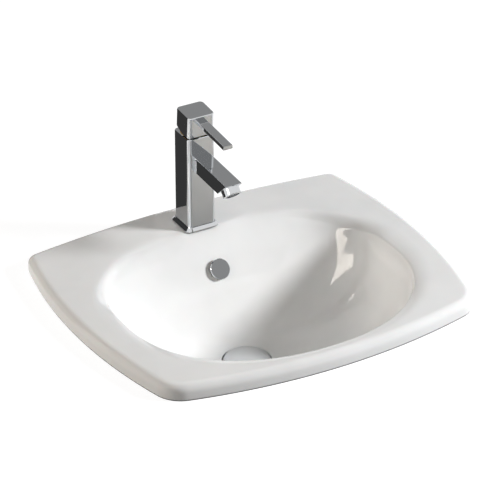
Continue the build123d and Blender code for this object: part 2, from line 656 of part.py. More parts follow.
def tap_body():
    column = rounded_prism(COLUMN_HALF, COLUMN_HALF, COLUMN_CORNER_R, PLATE_TOP, COLUMN_TOP, 0, TAP_Y)
    column = chamfer(column.edges().group_by(Axis.Z)[-1], COLUMN_EDGE)
    spout = extrude(spout_profile(), SPOUT_HALF, both=True)
    long_edges = spout.edges().filter_by(lambda e: e.length > SPOUT_REACH).sort_by(Axis.Z)[-2:]
    spout = fillet(long_edges, SPOUT_EDGE)
    body = column + spout
    body += aerator_frame() * cylinder_between(AERATOR_THREAD_R, -OVER, THREAD_LENGTH)
    body -= extrude(spout_profile(SPOUT_WALL), SPOUT_HALF - SPOUT_WALL, both=True)
    nozzle_r = AERATOR_THREAD_R - NOZZLE_WALL
    body -= aerator_frame() * cylinder_between(nozzle_r, -SPOUT_WALL - OVER / 2, THREAD_LENGTH + OVER)
    body -= cylinder_between(SHANK_R + RUNNING, PLATE_TOP - OVER, SHANK_TOP, 0, TAP_Y)
    for x in (-INLET_X, INLET_X):
        body -= cylinder_between(WATERWAY_R, SHANK_TOP - OVER, CARTRIDGE_SEAT + OVER, x, INLET_Y)
    body -= cylinder_between(SEAT_BORE_R, CARTRIDGE_SEAT, COLUMN_TOP, 0, TAP_Y)
    body -= cylinder_between(NUT_BORE_R, HOUSING_TOP, COLUMN_TOP + OVER, 0, TAP_Y)
    outlet = Vector(0, OUTLET_Y, CARTRIDGE_SEAT - OUTLET_DROP)
    body -= cylinder_between(OUTLET_R, outlet.Z, CARTRIDGE_SEAT + OVER, 0, OUTLET_Y)
    way = cylinder_between(OUTLET_R, 0, OUTLET_Y - COLUMN_FRONT + 2 * SPOUT_WALL)
    return body - Location(Plane(outlet, z_dir=(0, -1, OUTLET_RISE))) * way


# Aerator

def aerator_housing():
    body = cylinder_between(AERATOR_R, 0, AERATOR_LENGTH)
    body = chamfer(body.edges().group_by(Axis.Z)[-1], AERATOR_BEVEL)
    body -= cylinder_between(AERATOR_THREAD_R + SEATED, -OVER, AERATOR_LENGTH - AERATOR_LIP)
    body -= cylinder_between(AERATOR_THREAD_R - AERATOR_GRIP, 0, AERATOR_LENGTH + OVER)
    return aerator_frame() * body


def aerator_washer():
    outer = AERATOR_THREAD_R - RUNNING
    return aerator_frame() * ring(outer, AERATOR_THREAD_R - NOZZLE_WALL, THREAD_LENGTH, THREAD_LENGTH + AERATOR_WASHER)


def aerator_insert():
    """The flow straightener: a disc with a honeycomb of six-sided holes."""
    low = THREAD_LENGTH + AERATOR_WASHER
    high = AERATOR_LENGTH - AERATOR_LIP
    disc = cylinder_between(AERATOR_THREAD_R - RUNNING, low, high)
    for radius, count in zip(STRAIGHTENER_RADII, STRAIGHTENER_COUNTS):
        for k in range(count):
            hole = Pos(radius, 0, low - OVER) * extrude(RegularPolygon(STRAIGHTENER_HOLE, 6), high - low + 2 * OVER)
            disc -= Rot(0, 0, 360 * k / count) * hole
    return aerator_frame() * disc


STRAIGHTENER_HOLE = 1.3
STRAIGHTENER_RADII = (3.2, 6.7)
STRAIGHTENER_COUNTS = (5, 10)

# Cartridge

BASE_HEIGHT = 4.0
FIXED_DISC_LOW = CARTRIDGE_SEAT + BASE_HEIGHT
FIXED_DISC_HEIGHT = 3.0
DISC_PORT_R = 3.0
MOVING_DISC_LOW = FIXED_DISC_LOW + FIXED_DISC_HEIGHT
MOVING_DISC_HEIGHT = 3.5
MIXING_R = 6.0                      # the hollow under the moving disc, where the streams meet
MIXING_DEPTH = 1.6
DRIVER_LOW = MOVING_DISC_LOW + MOVING_DISC_HEIGHT
DRIVER_FLANGE = 4.7
TONGUE_HEIGHT = 4.0
TONGUE_HALF = 6.0
TONGUE_REACH = 8.5
DISC_R = 11.5
DRIVER_PLAY = 0.4                   # between the slider's flange and the carrier
CARRIER_LOW = DRIVER_LOW + DRIVER_FLANGE + DRIVER_PLAY
CARRIER_R = 15.5
CARRIER_PLAY = 0.2
STEM_SWING = 7.5                    # half the length of the slot in which the stem tilts
JOURNAL_R = 12.0
JOURNAL_RISE = 5.5
JOURNAL_TOP = PIVOT_Z + JOURNAL_RISE
HOUSING_INNER_R = CARRIER_R + LOOSE
HOUSING_PLATE = 3.8
HOUSING_STEP = 0.5
CARRIER_FLANGE_TOP = HOUSING_TOP - HOUSING_PLATE - CARRIER_PLAY
RING_NUT_HEIGHT = 10.0
RING_NUT_ROOM = 1.5                 # round the turret
NOTCH_WIDTH = 4.0
NOTCH_DEPTH = 2.5
NOTCH_WALL = 1.4
BALL_R = 3.0
BALL_ROOM = 0.1
NECK_R = 2.2
PIN_R = 2.0
PIN_SHY = 0.5                       # the pin's ends lie this far inside the turret
BALL_OFFSET = BALL_DEPTH * sin(radians(HANDLE_LEAN))
DISC_Y = TAP_Y + BALL_OFFSET


PORTS = ((-INLET_X, INLET_Y), (INLET_X, INLET_Y), (0, OUTLET_Y))
GASKET_HEIGHT = 1.8
GASKET_WALL = 1.4
WEB_WIDTH = 1.6


def bored(solid, radius):
    """The solid with the two inlets and the outlet drilled through it."""
    for x, y in PORTS:
        solid -= cylinder_between(radius, CARTRIDGE_SEAT - OVER, MOVING_DISC_LOW + OVER, x, y)
    return solid


def gasket_shape(clearance):
    """Three rings round the ports, joined by webs into one moulding."""
    low = CARTRIDGE_SEAT - clearance
    high = CARTRIDGE_SEAT + GASKET_HEIGHT
    half = WEB_WIDTH / 2 + clearance
    web = box_between((-INLET_X, INLET_X), (INLET_Y - half, INLET_Y + half), (low, high))
    web += box_between((-half, half), (OUTLET_Y, INLET_Y), (low, high))
    for x, y in PORTS:
        web += cylinder_between(WATERWAY_R + GASKET_WALL + clearance, low, high, x, y)
    return web


def cartridge_base():
    base = cylinder_between(CARTRIDGE_R, CARTRIDGE_SEAT, FIXED_DISC_LOW, 0, TAP_Y)
    return bored(base - gasket_shape(SEATED), WATERWAY_R)


def cartridge_gasket():
    return bored(gasket_shape(0), WATERWAY_R)


def fixed_disc():
    disc = cylinder_between(CARRIER_R, FIXED_DISC_LOW, MOVING_DISC_LOW, 0, TAP_Y)
    return bored(disc, DISC_PORT_R)


def moving_disc():
    """The upper ceramic disc, hollowed below so that it can join the ports."""
    disc = cylinder_between(DISC_R, MOVING_DISC_LOW, DRIVER_LOW, 0, DISC_Y)
    return disc - cylinder_between(MIXING_R, MOVING_DISC_LOW - OVER, MOVING_DISC_LOW + MIXING_DEPTH, 0, DISC_Y)


def disc_driver():
    """The plastic slider on the moving disc: its tongue runs in the carrier and holds the ball."""
    flange_top = DRIVER_LOW + DRIVER_FLANGE
    top = flange_top + TONGUE_HEIGHT
    driver = cylinder_between(DISC_R, DRIVER_LOW, flange_top, 0, DISC_Y)
    ends = (DISC_Y - TONGUE_REACH, DISC_Y + TONGUE_REACH)
    driver += box_between((-TONGUE_HALF, TONGUE_HALF), ends, (flange_top - OVER, top))
    ball_low = PIVOT_Z - BALL_DEPTH - BALL_R
    return driver - cylinder_between(BALL_R + BALL_ROOM, ball_low - LOOSE, top + OVER, 0, DISC_Y)


def cartridge_housing():
    wall = ring(CARTRIDGE_R, HOUSING_INNER_R, FIXED_DISC_LOW, HOUSING_TOP, 0, TAP_Y)
    plate_low = HOUSING_TOP - HOUSING_PLATE
    plate = ring(CARTRIDGE_R - HOUSING_STEP, JOURNAL_R + RUNNING, plate_low, HOUSING_TOP, 0, TAP_Y)
    return wall + plate


def spindle_carrier():
    """The turret that turns with the handle. Its channel guides the slider, its slot the stem."""
    channel_top = CARRIER_LOW + TONGUE_HEIGHT
    body = cylinder_between(CARRIER_R, CARRIER_LOW, CARRIER_FLANGE_TOP, 0, TAP_Y)
    body += cylinder_between(JOURNAL_R, CARRIER_FLANGE_TOP - OVER, JOURNAL_TOP, 0, TAP_Y)
    half = TONGUE_HALF + RUNNING
    through = (TAP_Y - CARRIER_R - OVER, TAP_Y + CARRIER_R + OVER)
    body -= box_between((-half, half), through, (CARRIER_LOW - OVER, channel_top))
    slot = STEM / 2 + RUNNING
    swing = (TAP_Y - STEM_SWING, TAP_Y + STEM_SWING)
    body -= box_between((-slot, slot), swing, (channel_top - OVER, JOURNAL_TOP + OVER))
    pin_hole = Pos(0, TAP_Y, PIVOT_Z) * Rot(0, 90, 0) * Cylinder(PIN_R + SEATED, 2 * (JOURNAL_R + OVER))
    return body - pin_hole


def pivot_pin():
    return Pos(0, TAP_Y, PIVOT_Z) * Rot(0, 90, 0) * Cylinder(PIN_R, 2 * (JOURNAL_R - PIN_SHY))


def cartridge_nut():
    """The brass ring nut that holds the cartridge down, with four notches for its key."""
    top = HOUSING_TOP + RING_NUT_HEIGHT
    nut = ring(NUT_BORE_R - SEATED, JOURNAL_R + RING_NUT_ROOM, HOUSING_TOP, top, 0, TAP_Y)
    width = (-NOTCH_WIDTH / 2, NOTCH_WIDTH / 2)
    for k in range(4):
        notch = box_between((JOURNAL_R, NUT_BORE_R - NOTCH_WALL), width, (top - NOTCH_DEPTH, top + OVER))
        nut -= Pos(0, TAP_Y) * Rot(0, 0, 45 + 90 * k) * notch
    return nut


# Handle, drawn upright about the pivot and then leaned forwards

HANDLE_FRAME = Pos(0, TAP_Y, PIVOT_Z) * Rot(HANDLE_LEAN, 0, 0)
HEAD_FRONT = HEAD_MIDDLE - HEAD_DEPTH / 2
HEAD_BACK = HEAD_MIDDLE + HEAD_DEPTH / 2
HEAD_EDGE = 0.9
BOSS_HALF = 8.0                     # the boss inside the head, which holds the stem
BOSS_SUNK = 6.5
BOSS_LOW = HEAD_BOTTOM + BOSS_SUNK
HEAD_ROOF = 3.8
PAD_HALF = 7.0                      # thickens the head where the lever is let in
PAD_WALL = 2.5
STEM_SHY = 10.0
STEM_TOP = HEAD_TOP - STEM_SHY
STEM_LOW = -3.5                     # below the pivot
TENON_R = 3.0
TENON_LENGTH = 9.0
TENON_Z = LEVER_TOP - LEVER_THICKNESS / 2
LEVER_EDGE = 1.0
SCREW_RISE = 12.0
SCREW_Z = HEAD_BOTTOM + SCREW_RISE
SCREW_R = 2.5
SCREW_LENGTH = 7.0
HEX_ACROSS = 2.5
HEX_DEPTH = 2.5
COVER_R = 3.2
COVER_SHOWS = 0.3
COVER_LENGTH = 3.3
UNDERCUT_START = -2.0               # measured back from the pivot


def along_y(radius, start, end, x, z):
    return Pos(x, (start + end) / 2, z) * Rot(90, 0, 0) * Cylinder(radius, abs(end - start))


def lever_stem():
    half = STEM / 2
    stem = box_between((-half, half), (-half, half), (STEM_LOW, STEM_TOP))
    stem += cylinder_between(NECK_R, -BALL_DEPTH, STEM_LOW + OVER / 2)
    stem += Pos(0, 0, -BALL_DEPTH) * Sphere(BALL_R)
    stem -= Rot(0, 90, 0) * Cylinder(PIN_R + RUNNING, STEM + 2 * OVER)
    return HANDLE_FRAME * stem


def handle_head():
    """A square cap, open below, with a boss for the stem and a pad for the lever's tenon."""
    head = rounded_prism(HEAD_HALF_WIDTH, HEAD_DEPTH / 2, COLUMN_CORNER_R, HEAD_BOTTOM, HEAD_TOP, 0, HEAD_MIDDLE)
    head = chamfer(head.edges().group_by(Axis.Z)[-1], HEAD_EDGE)
    ceiling = HEAD_TOP - HEAD_ROOF
    head -= rounded_prism(HEAD_HALF_WIDTH - HEAD_WALL, HEAD_DEPTH / 2 - HEAD_WALL, COLUMN_CORNER_R - HEAD_WALL,
                          HEAD_BOTTOM - OVER, ceiling, 0, HEAD_MIDDLE)
    head += box_between((-BOSS_HALF, BOSS_HALF), (-BOSS_HALF, BOSS_HALF), (BOSS_LOW, ceiling + OVER))
    pad_low = TENON_Z - TENON_R - PAD_WALL
    head += box_between((-PAD_HALF, PAD_HALF), (HEAD_FRONT + OVER, OVER - BOSS_HALF), (pad_low, ceiling + OVER))
    past = HEAD_BACK + OVER
    below = HEAD_BOTTOM - OVER
    rise = tan(radians(HEAD_UNDERCUT)) * (past - UNDERCUT_START)
    wedge = [(UNDERCUT_START, HEAD_BOTTOM), (past, HEAD_BOTTOM + rise), (past, below), (UNDERCUT_START, below)]
    head -= slab_of_profile(wedge, HEAD_HALF_WIDTH + OVER)
    socket = STEM / 2 + SEATED
    head -= box_between((-socket, socket), (-socket, socket), (BOSS_LOW - OVER, STEM_TOP + LOOSE))
    head -= along_y(TENON_R + SEATED, HEAD_FRONT - OVER, HEAD_FRONT + TENON_LENGTH + LOOSE, 0, TENON_Z)
    head -= along_y(SCREW_R + SEATED, 0, BOSS_HALF + OVER, 0, SCREW_Z)
    head -= along_y(COVER_R, HEAD_BACK - HEAD_WALL - OVER, HEAD_BACK + OVER, 0, SCREW_Z)
    return HANDLE_FRAME * head


def handle_lever():
    bar = box_between((-LEVER_WIDTH / 2, LEVER_WIDTH / 2), (HEAD_FRONT - LEVER_LENGTH, HEAD_FRONT),
                      (LEVER_TOP - LEVER_THICKNESS, LEVER_TOP))
    bar = fillet(bar.edges().filter_by(Axis.Y), LEVER_EDGE)
    bar += along_y(TENON_R, HEAD_FRONT - OVER, HEAD_FRONT + TENON_LENGTH, 0, TENON_Z)
    return HANDLE_FRAME * bar


def handle_screw():
    """The grub screw that clamps the head on the stem, with its hexagon socket to the back."""
    end = STEM / 2 + SCREW_LENGTH
    socket = Plane((0, end, SCREW_Z), z_dir=(0, 1, 0)) * RegularPolygon(HEX_ACROSS / 2, 6, major_radius=False)
    return HANDLE_FRAME * (along_y(SCREW_R, STEM / 2, end, 0, SCREW_Z) - extrude(socket, -HEX_DEPTH))


def screw_cover():
    end = HEAD_BACK + COVER_SHOWS
    return HANDLE_FRAME * along_y(COVER_R - RUNNING, end - COVER_LENGTH, end, 0, SCREW_Z)


PIECES = [
    basin, overflow_sleeve, overflow_cap,
    waste_body, waste_top_seal, waste_bottom_seal, waste_washer, waste_backnut,
    plug_cap, plug_seal, plug_spindle, latch_body, plug_spring,
    base_seal, base_plate, inlet_block, inlet_seal, fixing_stud,
    fixing_washer_rubber, fixing_washer_steel, fixing_nut,
    tap_body, aerator_housing, aerator_washer, aerator_insert,
    cartridge_base, cartridge_gasket, fixed_disc, moving_disc, disc_driver,
    cartridge_housing, spindle_carrier, pivot_pin, cartridge_nut,
    lever_stem, handle_head, handle_lever, handle_screw, screw_cover,
]

for piece in PIECES:
    save(piece(), piece.__name__)
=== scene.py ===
# %% [markdown]
# # An inset basin with a square tap
#
# The object is a white china basin that drops into a worktop. It carries a chromed square tap with a
# single lever, a covered overflow and a waste with a broad chromed cap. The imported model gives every
# piece its size and place, so this lesson is about looks: how a glazed surface, polished chrome, rubber
# and moulded plastic are told apart, and how the soft form of cast china is modelled.

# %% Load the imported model
import json
from math import atan2, cos, hypot, pi, radians, sin, sqrt

import bmesh
import bpy
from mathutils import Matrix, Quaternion, Vector


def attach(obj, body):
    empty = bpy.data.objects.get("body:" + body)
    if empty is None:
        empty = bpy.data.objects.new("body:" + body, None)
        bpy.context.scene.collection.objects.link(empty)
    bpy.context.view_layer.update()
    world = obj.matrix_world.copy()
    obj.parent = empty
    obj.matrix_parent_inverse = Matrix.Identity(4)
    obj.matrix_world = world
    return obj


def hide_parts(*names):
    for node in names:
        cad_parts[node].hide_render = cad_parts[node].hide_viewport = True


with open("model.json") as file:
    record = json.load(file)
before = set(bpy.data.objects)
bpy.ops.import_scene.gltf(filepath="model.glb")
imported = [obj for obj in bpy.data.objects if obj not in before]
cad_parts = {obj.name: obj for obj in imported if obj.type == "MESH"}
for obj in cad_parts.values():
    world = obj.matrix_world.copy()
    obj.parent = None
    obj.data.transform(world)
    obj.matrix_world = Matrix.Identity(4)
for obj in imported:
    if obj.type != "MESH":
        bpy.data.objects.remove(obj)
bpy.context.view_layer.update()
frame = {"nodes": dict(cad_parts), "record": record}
nodes = frame["nodes"]

MM = 0.001


def nothing_selected():
    """An operator acts on all that is selected, so each step starts with nothing selected."""
    if bpy.context.object and bpy.context.object.mode != "OBJECT":
        bpy.ops.object.mode_set(mode="OBJECT")
    bpy.ops.object.select_all(action="DESELECT")


nothing_selected()

# %% [markdown]
# ## Adding nodes to a material
#
# A material is a small graph. One helper adds a node, sets its plain values and joins its inputs to what
# feeds them, so each material below reads as a list of what it is made of. Colours are written as the
# hex values a paint chart would give, and those are sRGB, so they are turned to linear light first.

# %% One helper for nodes, one for colours

def linear(hex_colour):
    """The linear colour of an sRGB hex value such as #f4f4f2."""
    parts = [int(hex_colour[i:i + 2], 16) / 255 for i in (1, 3, 5)]
    return [c / 12.92 if c <= 0.04045 else ((c + 0.055) / 1.055) ** 2.4 for c in parts] + [1.0]


def add_node(material, kind, values=None, links=None, **settings):
    """Adds a node of a kind. values go on its sockets, and links join its sockets to other outputs."""
    tree = material.node_tree
    node = tree.nodes.new("ShaderNode" + kind)
    for name, value in settings.items():
        setattr(node, name, value)
    for socket, value in (values or {}).items():
        node.inputs[socket].default_value = value
    for socket, source in (links or {}).items():
        tree.links.new(source, node.inputs[socket])
    return node


def start_material(name):
    """An empty material and the socket of its surface."""
    material = bpy.data.materials.new(name)
    material.use_nodes = True
    material.node_tree.nodes.clear()
    return material


def end_material(material, shader):
    add_node(material, "OutputMaterial", links={"Surface": shader})
    return material


# %% [markdown]
# ## Glazed china
#
# Vitreous china is cast in a plaster mould, sprayed with a white zircon glaze and fired. The clay under the
# glaze is warm and slightly uneven, and the glaze flows a little before it sets. To the eye that is a
# white body with a very sharp gloss, in which a lamp's image is gently bent. The gloss could be drawn
# with a coat over a matt body, but a glaze is one glass layer on a white ground, which is what the plain
# shader already is with a low roughness. Two noise patterns do the rest: one 60 mm across tints the
# white by a hair, and one about 14 mm across lifts the surface by a few hundredths of a millimetre.

# %% Vitreous china with a white glaze

def glazed_china():
    china = start_material("vitreous china, white glaze")
    place = add_node(china, "TexCoord")
    tint = add_node(china, "TexNoise", {"Scale": 1 / 0.060, "Detail": 2.0},
                    {"Vector": place.outputs["Object"]})
    colour = add_node(china, "ValToRGB", links={"Fac": tint.outputs["Fac"]})
    colour.color_ramp.elements[0].color = linear("#e9e9e8")
    colour.color_ramp.elements[1].color = linear("#ededec")
    colour.color_ramp.elements[0].position = 0.35
    colour.color_ramp.elements[1].position = 0.65
    flow = add_node(china, "TexNoise", {"Scale": 1 / 0.014, "Detail": 1.0},
                    {"Vector": place.outputs["Object"]})
    relief = add_node(china, "Bump", {"Strength": 0.25, "Distance": 0.00004},
                      {"Height": flow.outputs["Fac"]})
    shader = add_node(china, "BsdfPrincipled",
                      {"Roughness": 0.045, "IOR": 1.5, "Subsurface Weight": 0.04, "Subsurface Scale": 0.002},
                      {"Base Color": colour.outputs["Color"], "Normal": relief.outputs["Normal"]})
    return end_material(china, shader.outputs["BSDF"])


CHINA = glazed_china()

# %% [markdown]
# ## Polished chrome
#
# The tap, the overflow's cap and the waste's flange are brass castings, polished, plated with nickel and
# then with a skin of chromium. Chromium reflects about two thirds of the light, slightly blue, and shows
# no colour of its own, so what it looks like is what stands round it. The plating follows every polishing
# mark, so a fine noise moves the roughness between 0.02 and 0.06, in patches about 9 mm across as wiping
# leaves them.

# %% Chromium-plated brass

def polished_chrome():
    chrome = start_material("chromium-plated brass, polished")
    place = add_node(chrome, "TexCoord")
    wiping = add_node(chrome, "TexNoise", {"Scale": 1 / 0.009, "Detail": 3.0},
                      {"Vector": place.outputs["Object"]})
    gloss = add_node(chrome, "MapRange", {"To Min": 0.02, "To Max": 0.06},
                     {"Value": wiping.outputs["Fac"]})
    shader = add_node(chrome, "BsdfPrincipled", {"Base Color": linear("#d0d2d4"), "Metallic": 1.0},
                      {"Roughness": gloss.outputs["Result"]})
    return end_material(chrome, shader.outputs["BSDF"])


CHROME = polished_chrome()

# %% [markdown]
# ## The metals and plastics out of sight
#
# What is fastened under the deck is left as it was machined or moulded. Turned brass and rolled steel keep
# fine marks from the tool, drawn here as a noise with a grain of about 0.5 mm, and cast steel is coarser.
# Rubber is matt and grainy. Moulded plastic has a fine spark-eroded texture of about half a millimetre.
# Only the colour, the gloss and the grain's size differ, so one function makes them.

# %% Machined metals, rubber and moulded plastics

def plain_finish(name, dark, light, metallic, roughness, grain, depth):
    """A finish with a grain of one size, in metres, that varies both its colour and its surface."""
    material = start_material(name)
    place = add_node(material, "TexCoord")
    pattern = add_node(material, "TexNoise", {"Scale": 1 / grain, "Detail": 2.0},
                       {"Vector": place.outputs["Object"]})
    colour = add_node(material, "ValToRGB", links={"Fac": pattern.outputs["Fac"]})
    colour.color_ramp.elements[0].color = linear(dark)
    colour.color_ramp.elements[1].color = linear(light)
    relief = add_node(material, "Bump", {"Strength": 0.5, "Distance": depth},
                      {"Height": pattern.outputs["Fac"]})
    shader = add_node(material, "BsdfPrincipled", {"Metallic": metallic, "Roughness": roughness},
                      {"Base Color": colour.outputs["Color"], "Normal": relief.outputs["Normal"]})
    return end_material(material, shader.outputs["BSDF"])


FINISHES = {
    "china": CHINA,
    "chrome": CHROME,
    "brass": plain_finish("free-cutting brass, turned", "#b0904f", "#c8a968", 1.0, 0.28, 0.0005, 0.00003),
    "steel": plain_finish("stainless steel, rolled", "#8f9193", "#b3b5b7", 1.0, 0.32, 0.0006, 0.00002),
    "cast_steel": plain_finish("stainless steel, cast", "#77797b", "#9a9c9e", 1.0, 0.42, 0.0012, 0.00006),
    "rubber": plain_finish("nitrile rubber, moulded", "#121212", "#1e1e1e", 0.0, 0.75, 0.0008, 0.00005),
    "white_plastic": plain_finish("ABS, white, moulded", "#d8d8d5", "#e4e4e2", 0.0, 0.4, 0.0005, 0.00002),
    "grey_plastic": plain_finish("acetal, grey, moulded", "#5c5e60", "#6c6e70", 0.0, 0.45, 0.0005, 0.00002),
    "dark_plastic": plain_finish("glass-filled nylon, black", "#232426", "#313335", 0.0, 0.5, 0.0004,
                                 0.00003),
    "disc_ceramic": plain_finish("alumina, lapped", "#e2ded2", "#ece9df", 0.0, 0.15, 0.0007, 0.00001),
}

slot_of = {s["node"]: s["material_slot"] for s in frame["record"]["subparts"]}
for name, node in nodes.items():
    for slot in node.material_slots:
        slot.material = FINISHES[slot_of[name]]
print("finishes set on", len(nodes), "nodes")

# %% [markdown]
# ## The shape of the basin
#
# Cast china has no sharp edges: the deck runs into a soft shoulder, the shoulder into the bowl's wall and
# the rim rolls over to its foot. Its curves are known as level curves, from the waste's hole out to the
# rim. It could be sculpted, or built as a few surfaces with rounded joints, but one skin of rings that
# are extruded one after another keeps the glaze's reflections unbroken, and a subdivision then makes it
# smooth. The rings' points are worked out first. Each point keeps one direction all the way out, so the
# lines from waste to rim run straight, and the directions crowd together at the rim's four corners.

# %% The rim's outline, as points with outward normals

BACK_CORNER = (239.0, 179.5)
FRONT_CORNER = (228.5, -209.5)
BULGES = (26.0, 20.0, 26.0, 32.5)       # right side, back, left side, front
CORNER_RADII = (42.0, 16.0, 16.0, 42.0)  # front right, back right, back left, front left


def arc_centre(a, b, bulge):
    """Centre and radius of the arc from a to b that bows outwards by the bulge."""
    dx, dy = b[0] - a[0], b[1] - a[1]
    chord = hypot(dx, dy)
    radius = (chord * chord / 4 + bulge * bulge) / (2 * bulge)
    out = (dy / chord, -dx / chord)
    back = radius - bulge
    return ((a[0] + b[0]) / 2 - out[0] * back, (a[1] + b[1]) / 2 - out[1] * back), radius


def circles_meet(c1, r1, c2, r2, near):
    """The point where two circles meet that lies nearer to a given point."""
    dx, dy = c2[0] - c1[0], c2[1] - c1[1]
    d = hypot(dx, dy)
    along = (r1 * r1 - r2 * r2 + d * d) / (2 * d)
    height = sqrt(max(r1 * r1 - along * along, 0.0))
    base = (c1[0] + dx / d * along, c1[1] + dy / d * along)
    found = [(base[0] - dy / d * height * k, base[1] + dx / d * height * k) for k in (1, -1)]
    return min(found, key=lambda p: hypot(p[0] - near[0], p[1] - near[1]))


def sweep_points(centre, radius, start, end, count):
    """count points of an arc with their normals, the first at start and the last just before end."""
    a = atan2(start[1] - centre[1], start[0] - centre[0])
    b = atan2(end[1] - centre[1], end[0] - centre[0])
    turn = (b - a + pi) % (2 * pi) - pi
    angles = [a + turn * k / count for k in range(count)]
    return [(centre[0] + radius * cos(t), centre[1] + radius * sin(t), cos(t), sin(t)) for t in angles]


def rim_outline():
    corners = [(FRONT_CORNER[0], FRONT_CORNER[1]), (BACK_CORNER[0], BACK_CORNER[1]),
               (-BACK_CORNER[0], BACK_CORNER[1]), (-FRONT_CORNER[0], FRONT_CORNER[1])]
    arcs = [arc_centre(corners[k], corners[(k + 1) % 4], BULGES[k]) for k in range(4)]
    rounds = []
    for k in range(4):
        (c1, r1), (c2, r2), r = arcs[k - 1], arcs[k], CORNER_RADII[k]
        c = circles_meet(c1, r1 - r, c2, r2 - r, corners[k])
        ends = []
        for centre, radius in ((c1, r1), (c2, r2)):
            d = hypot(c[0] - centre[0], c[1] - centre[1])
            ends.append((centre[0] + (c[0] - centre[0]) / d * radius,
                         centre[1] + (c[1] - centre[1]) / d * radius))
        rounds.append((c, r, ends))
    points = []
    for k in range(4):
        c, r, ends = rounds[k]
        points += sweep_points(c, r, ends[0], ends[1], 10)
        centre, radius = arcs[k]
        points += sweep_points(centre, radius, ends[1], rounds[(k + 1) % 4][2][0], 42 if k % 2 else 36)
    return points


RIM = rim_outline()
MIDDLE_Y = -42.0
DIRECTIONS = [atan2(y - MIDDLE_Y, x) for x, y, nx, ny in RIM]
print("rim outline:", len(RIM), "points, x to", round(max(p[0] for p in RIM), 2),
      "y", round(min(p[1] for p in RIM), 2), "to", round(max(p[1] for p in RIM), 2))

# %% [markdown]
# ## The bowl's level curves
#
# Each level curve is an oval a little squarer than an ellipse, and squarer still towards the back wall.
# Going down, the front and the sides curl in like a bath's end, while the back wall falls away in a long
# slope first, which is where the overflow's cap sits.

# %% Points of the bowl, by direction and depth

CREASE_Z, FLOOR_Z, DECK_Z = 17.6, -121.0, 22.0
HALF_WIDTH, FRONT, BACK = 203.5, 215.0, 111.5
SHOULDER_SIDE, SHOULDER_FRONT, SHOULDER_BACK = 25.0, 15.0, 7.0
DECK_END = 12.5                          # the flat deck ends this far inside the rim
FLOOR_R = 34.0
INSIDE = (0.0, FLOOR_R, CREASE_Z, FLOOR_Z)
OUTSIDE = (9.5, 45.0, 12.7, -130.5)      # the china is 9.5 mm thick


def oval_point(t, half_width, front, back, middle, front_power, back_power, z):
    """The point in direction t of an oval round (0, middle)."""
    power, reach = (back_power, back - middle) if sin(t) > 0 else (front_power, middle + front)
    size = (abs(cos(t) / half_width) ** power + abs(sin(t) / reach) ** power) ** (-1 / power)
    return (size * cos(t), middle + size * sin(t), z)


def bowl_point(t, s, side=INSIDE):
    """The point in direction t at a share s of the depth, on the inside or outside of the china."""
    grow, floor_r, top, floor = side
    share = (1 - 0.10 * s) * sqrt(1 - s * s)
    back_share = 0.7 * (1 - s) ** 3 + 0.3 * sqrt(1 - s * s)
    half_width = floor_r + (HALF_WIDTH + grow - floor_r) * share
    front = floor_r + (FRONT + grow - floor_r) * share
    back = floor_r + (BACK + grow - floor_r) * back_share
    return oval_point(t, half_width, front, back, MIDDLE_Y * share,
                      2 + 0.2 * share, 2 + 1.0 * share, top + (floor - top) * s)


def bowl_ring(s, side=INSIDE):
    return [bowl_point(t, s, side) for t in DIRECTIONS]


def shoulder_ring(side, back, z):
    """A level curve of the shoulder, with the shares of its widths at the sides and behind."""
    return [oval_point(t, HALF_WIDTH + SHOULDER_SIDE * side, FRONT + SHOULDER_FRONT * side,
                       BACK + SHOULDER_BACK * back, MIDDLE_Y, 2.2, 3.0 - 0.5 * back, z) for t in DIRECTIONS]


def circle_ring(radius, z):
    return [(radius * cos(t), radius * sin(t), z) for t in DIRECTIONS]


def inset_ring(inset, z):
    return [(x - nx * inset, y - ny * inset, z) for x, y, nx, ny in RIM]


def between(a, b, share):
    """A ring part of the way from one to another. The share may be a number or one for each point."""
    shares = share if isinstance(share, list) else [share] * len(a)
    return [tuple(p + (q - p) * k for p, q in zip(u, v)) for u, v, k in zip(a, b, shares)]


def round_off(before, corner, after, reach_before, reach_after, steps):
    """Rings that round a corner ring off, starting a reach before it and ending a reach after it."""
    starts, ends = [], []
    for a, b, c, r, q in zip(before, corner, after, reach_before, reach_after):
        a, b, c = Vector(a), Vector(b), Vector(c)
        starts.append(b + (a - b).normalized() * r)
        ends.append(b + (c - b).normalized() * q)
    rings = []
    for k in range(steps + 1):
        u = k / steps
        rings.append([tuple(p * (1 - u) ** 2 + Vector(b) * 2 * u * (1 - u) + q * u * u)
                      for p, b, q in zip(starts, corner, ends)])
    return rings


# %% [markdown]
# ## Where the bowl's edge is crisp and where it fades
#
# In front and at the sides the wall meets the shoulder in an edge that could be felt with a finger. In
# the back corners that edge dips and softens, and behind it is gone: the deck rolls into the back wall.
# So there are two sets of rings for this zone, one with an edge and one with a wide roll, and each
# direction takes its own share of the two. In front of the tap the roll starts later, because the tap
# needs flat ground.

# %% The edge, the roll and their mixture

def smooth_step(value, low, high):
    share = max(0.0, min(1.0, (value - low) / (high - low)))
    return share * share * (3 - 2 * share)


DIP = [smooth_step(sin(t), 0.12, 0.50) * 0.070 for t in DIRECTIONS]    # share of the depth
ROLL = [smooth_step(sin(t), 0.45, 0.92) for t in DIRECTIONS]
CLEAR_OF_TAP = [smooth_step(abs(cos(t)), 0.20, 0.45) for t in DIRECTIONS]
COUNT = len(DIRECTIONS)


def wall_ring(share):
    """A ring on the bowl's wall, at a share of the way from the dipping edge down to the floor."""
    return [bowl_point(t, dip + (1 - dip) * share) for t, dip in zip(DIRECTIONS, DIP)]


